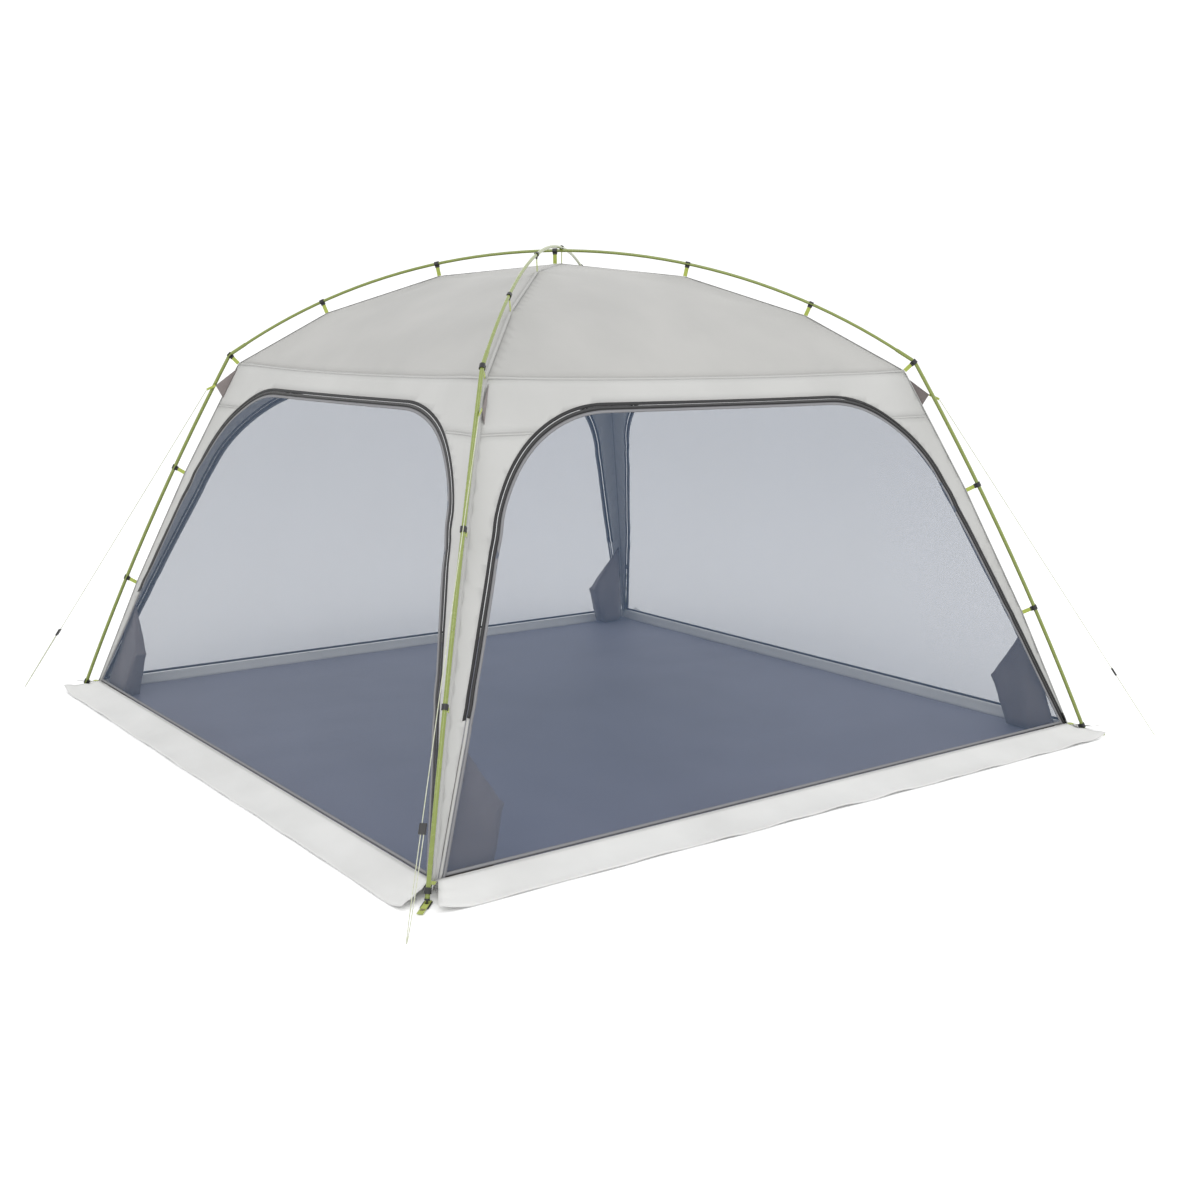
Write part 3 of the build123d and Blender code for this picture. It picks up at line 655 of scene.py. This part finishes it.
def tape(name, line, width, seed, turn, made, body, lift=LIFT, thickness=0.0008, crown=0.0):
    """A strip laid on the cloth along a line of (x, height) points, with its own UV map."""
    mesh = bmesh.new()
    rows = 4 if crown else 1
    bmesh.ops.create_grid(mesh, x_segments=len(line) - 1, y_segments=rows, size=1)
    uv = mesh.loops.layers.uv.new("UVMap")
    lengths = [0.0]
    for before, after in zip(line, line[1:]):
        lengths.append(lengths[-1] + hypot(after[0] - before[0], after[1] - before[1]))
    place = {}
    for vertex in mesh.verts:
        number = round((vertex.co.x + 1) / 2 * (len(line) - 1))
        share = (vertex.co.y + 1) / 2
        before, after = line[max(number - 1, 0)], line[min(number + 1, len(line) - 1)]
        run, rise = after[0] - before[0], after[1] - before[1]
        size = hypot(run, rise)
        away = (share - 0.5) * width
        proud = lift + crown * (1 - (2 * share - 1) ** 2) ** 0.5
        x, height = line[number][0] - rise / size * away, line[number][1] + run / size * away
        place[vertex] = (lengths[number], share)
        vertex.co = draped(x, max(height, PROFILE[0][1]), seed, lift=proud)
    for face in mesh.faces:
        for loop in face.loops:
            loop[uv].uv = place[loop.vert]
    turn_mesh(mesh, turn)
    mesh.normal_update()
    outward = turned((0, -1, 0), turn) + Vector((0, 0, 1))
    if mesh.faces[:][0].normal.dot(outward) < 0:
        bmesh.ops.reverse_faces(mesh, faces=mesh.faces)
    return finish_piece(mesh, name, made, body, thickness)


def between_heights(line, low, side=0):
    """The part of a line above a height, on one side of the middle if side isn't 0."""
    return [point for point in line if point[1] >= low or point[0] * side > 0]


zip_line = between_heights(arch_line(COIL / 2), SEWN_HEIGHT, side=1)
binding_line = arch_line(BINDING_INSET)
sewn_line = [point for point in arch_line(SEAM / 2) if point[0] < 0 and point[1] <= SEWN_HEIGHT + 0.01]
track_skins = cut_skin("zip_tracks", CLOTH_STEP, UP)
for number, (side, turn) in enumerate(SIDES.items()):
    seed = side_seed(number)
    body = f"door_{side}"
    tape(f"zip_coil_{side}", zip_line, COIL, seed, turn, ZIP_COIL, body, crown=COIL_CROWN)
    tape(f"door_binding_{side}", binding_line, BINDING, seed, turn, BINDING_TAPE, body,
         lift=BINDING_LIFT)
    tape(f"sewn_edge_{side}", sewn_line, SEAM, seed, turn, SEAM_TAPE, body)
    hem_line = [(x / 60 * (DOOR_FOOT - HEM_END), SILL_HEIGHT + HEM_RISE) for x in range(-60, 61)]
    tape(f"door_hem_{side}", hem_line, HEM, seed, turn, BINDING_TAPE, body)
    eave = PROFILE[-4][1]
    half = profile_at(distance_of(eave))[0]
    line = [(x / 70 * half, eave) for x in range(-70, 71)]
    tape(f"eave_seam_{side}", line, CROSS_SEAM, seed, turn, SEAM_TAPE, "frame", lift=SEAM_LIFT)
    inner = max(x for x, z in arch_line(-0.014) if z >= BAND_SEAM - 0.012)
    half = profile_at(distance_of(BAND_SEAM))[0]
    for hand in (-1, 1):
        part = [(hand * (inner + (half - inner) * step / 16), BAND_SEAM) for step in range(17)]
        tape(f"band_seam_{side}_{'left' if hand < 0 else 'right'}", part[::hand], CROSS_SEAM, seed, turn,
             SEAM_TAPE, "frame", lift=SEAM_LIFT)


def frame_tape():
    """The frame's half of every zip, as one piece from the frame's own outline."""
    whole = bmesh.new()
    for number in range(len(TURNS)):
        add_side(whole, track_skins, number)
    piece = finish_piece(whole, "frame_zip_tape", ZIP_TAPE, "frame", CLOTH)
    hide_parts("zip_tracks")


frame_tape()


# ---- corner seams ----------------------------------------------------------------------
def corner_seam_tape(corner, turn):
    """The taped seam up one corner, from the sill to the crown."""
    count = 120
    mesh = bmesh.new()
    bmesh.ops.create_grid(mesh, x_segments=count, y_segments=2, size=1)
    uv = mesh.loops.layers.uv.new("UVMap")
    place = {}
    for vertex in mesh.verts:
        distance = (vertex.co.x + 1) / 2 * DISTANCES[-1]
        share = vertex.co.y
        place[vertex] = (distance, (share + 1) / 2)
        half, height = profile_at(distance)
        reach = half * 2 ** 0.5 + LIFT - abs(share) * SEAM * 0.35
        vertex.co = (max(reach, 0.0), share * SEAM * 0.6, height + LIFT)
    for face in mesh.faces:
        for loop in face.loops:
            loop[uv].uv = place[loop.vert]
    turn_mesh(mesh, turn)
    bmesh.ops.recalc_face_normals(mesh, faces=mesh.faces)
    finish_piece(mesh, f"corner_seam_{corner}", SEAM_TAPE, "frame", CLOTH)


for corner, turn in CORNERS.items():
    corner_seam_tape(corner, turn)


# ---- skirts, sill and groundsheet ---------------------------------------------------------
SKIRT_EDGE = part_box("skirt_front")[0].y * -1
SKIRT_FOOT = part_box("skirt_front")[1].x
SKIRT_TOP = PROFILE[0][0] - 0.018
SILL_HALF = PROFILE[0][0]
FLOOR_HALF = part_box("groundsheet")[1].x


def grid_sheet(name, across, along, spot, made, turn, thickness=CLOTH):
    """A sheet from a grid whose points are put where spot(u, v) says, u -1 to 1 and v 0 to 1."""
    mesh = bmesh.new()
    bmesh.ops.create_grid(mesh, x_segments=across, y_segments=along, size=1)
    for vertex in mesh.verts:
        vertex.co = spot(vertex.co.x, (vertex.co.y + 1) / 2)
    turn_mesh(mesh, turn)
    mesh.normal_update()
    if sum(face.normal.z for face in mesh.faces) < 0:
        bmesh.ops.reverse_faces(mesh, faces=mesh.faces)
    return finish_piece(mesh, name, made, "frame", thickness)


def skirt_spot(seed):
    def spot(u, v):
        half = SKIRT_TOP + (SKIRT_FOOT - SKIRT_TOP) * v
        end = max(abs(u) - 0.93, 0) / 0.07
        slack = noise.noise(Vector((u * 9, v * 1.5, seed))) * 0.006 + sin(u * 37 + seed) * 0.0025
        rise = 0.045 * (1 - v) ** 1.35 + max(slack, -0.004) * v + 0.004 * v
        curl = end ** 2 * 0.022 * v ** 1.5 + end * abs(sin(v * 9 + seed)) * 0.005
        ripple = noise.noise(Vector((u * 6, 3.0, seed))) * 0.006 * v
        out = SILL_HALF + (SKIRT_EDGE - SILL_HALF) * v + ripple
        return Vector((u * half, -out, max(rise + curl, 0.0015)))
    return spot


def sill_spot(u, v):
    """The strip from the door's sill down to the groundsheet's edge."""
    half = SILL_HALF + (FLOOR_HALF - SILL_HALF) * v
    wave = noise.noise(Vector((u * 12, v, 5.0))) * 0.003 * v * (1 - v) * 4
    return Vector((u * half, -half + wave, 0.0445 * (1 - v) + 0.0016))


for number, (side, turn) in enumerate(SIDES.items()):
    seed = 2.1 * number + 0.4
    skirt = grid_sheet(f"skirt_cloth_{side}", 150, 10, skirt_spot(seed), SKIRT, turn)
    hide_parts(f"skirt_{side}")
    strip = grid_sheet(f"sill_strip_{side}", 90, 4, sill_spot, SKIRT, turn)
    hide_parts("floor_sill")


def floor_spot(u, v):
    """The groundsheet: nearly flat, with slow wrinkles, and an edge that isn't quite straight."""
    x, y = u * FLOOR_HALF, (2 * v - 1) * FLOOR_HALF
    edge = 1 + noise.noise(Vector((x * 4, y * 4, 7.0))) * 0.004
    fold_along = abs(noise.noise(Vector((x * 0.8, y * 2.6, 1.0))))
    fold_across = abs(noise.noise(Vector((x * 2.6, y * 0.8, 4.0))))
    return Vector((x * edge, y * edge, 0.0014 + (fold_along + fold_across) * 0.0045))


floor = grid_sheet("groundsheet_cloth", 110, 110, floor_spot, FLOOR, 0)
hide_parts("groundsheet")


# ---- pouches in the corners ------------------------------------------------------------------
def pouches():
    """The slack pouch behind each door's sewn edge, from the frame's pouch. Its dark cloth colour is painted
    shade.
    """
    mesh = bmesh.new()
    mesh.from_mesh(NODES["corner_pockets"].data)
    bmesh.ops.remove_doubles(mesh, verts=mesh.verts, dist=1e-5)
    bmesh.ops.dissolve_limit(mesh, angle_limit=radians(0.2), verts=mesh.verts, edges=mesh.edges)
    for way in (Vector((1, 0, 0)), BACK, UP):
        cut_across(mesh, way, 0.05)
    mesh.normal_update()
    moves = {vertex: vertex.normal * (noise.noise(vertex.co * 7) * 0.010 - 0.006) for vertex in mesh.verts}
    for vertex, move in moves.items():
        vertex.co += move
    bmesh.ops.smooth_vert(mesh, verts=mesh.verts, factor=0.4,
                          use_axis_x=True, use_axis_y=True, use_axis_z=True)
    piece = finish_piece(mesh, "pouches", PAINTED_SHADE_CLOTH, "frame", 0)
    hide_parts("corner_pockets")


pouches()


# ---- guy wings, loops and foot straps ------------------------------------------------------------
def wing(corner, turn):
    """The cloth wing that a guy line pulls on, a little bowed by the pull."""
    low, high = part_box("guy_wings")[0].z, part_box("guy_wings")[1].z

    def seam(height):
        return profile_at(distance_of(height))[0] * 2 ** 0.5 - 0.012

    def spot(u, v):
        height = low + (high - low) * (u + 1) / 2
        root = seam(height)
        tip_height = WING_TIP[1] + (height - WING_TIP[1]) * (1 - v)
        bow = sin(pi * v) * sin(pi * (u + 1) / 2) * 0.006
        return Vector((root + (WING_TIP[0] - root) * v, GUY_SIDE + bow, tip_height))

    # The wing takes the pouch's dark cloth, whose colour is painted shade.
    piece = grid_sheet(f"guy_wing_{corner}", 14, 10, spot, PAINTED_SHADE_CLOTH, turn)
    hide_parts("guy_wings")
    root_low, root_high = Vector((seam(low), low)), Vector((seam(high), high))


for corner, turn in CORNERS.items():
    wing(corner, turn)
finish_node("guy_loops", LIME_WEB)
finish_node("foot_straps", LIME_WEB)

# ---- floor, light and view -----------------------------------------------------------------------
STUDIO = 14.0


def studio():
    """A pale floor, an even white surround and one broad soft light from the near left."""
    mesh = bmesh.new()
    bmesh.ops.create_grid(mesh, x_segments=1, y_segments=1, size=STUDIO * 3)
    data = bpy.data.meshes.new("studio_floor")
    mesh.to_mesh(data)
    mesh.free()
    made, shader = material("studio_paper", 0.9)
    shader.inputs["Base Color"].default_value = (0.97, 0.97, 0.97, 1)
    data.materials.append(made)
    ground = bpy.data.objects.new("studio_floor", data)
    ground.location.z = -0.002
    scene.collection.objects.link(ground)
    world = bpy.data.worlds.new("studio")
    world.use_nodes = True
    world.node_tree.nodes["Background"].inputs["Color"].default_value = (1, 1, 1, 1)
    world.node_tree.nodes["Background"].inputs["Strength"].default_value = 1.15
    scene.world = world
    for name, spot, size, power in (("key", (-7, -7, 9), 8, 420), ("fill", (8, -5, 6), 7, 160)):
        light = bpy.data.lights.new(name, "AREA")
        light.size, light.energy = size, power
        lamp = bpy.data.objects.new(name, light)
        lamp.location = spot
        lamp.rotation_euler = (Vector((0, 0, 1)) - Vector(spot)).to_track_quat("-Z", "Y").to_euler()
        scene.collection.objects.link(lamp)
    scene.view_settings.view_transform = "Standard"


studio()
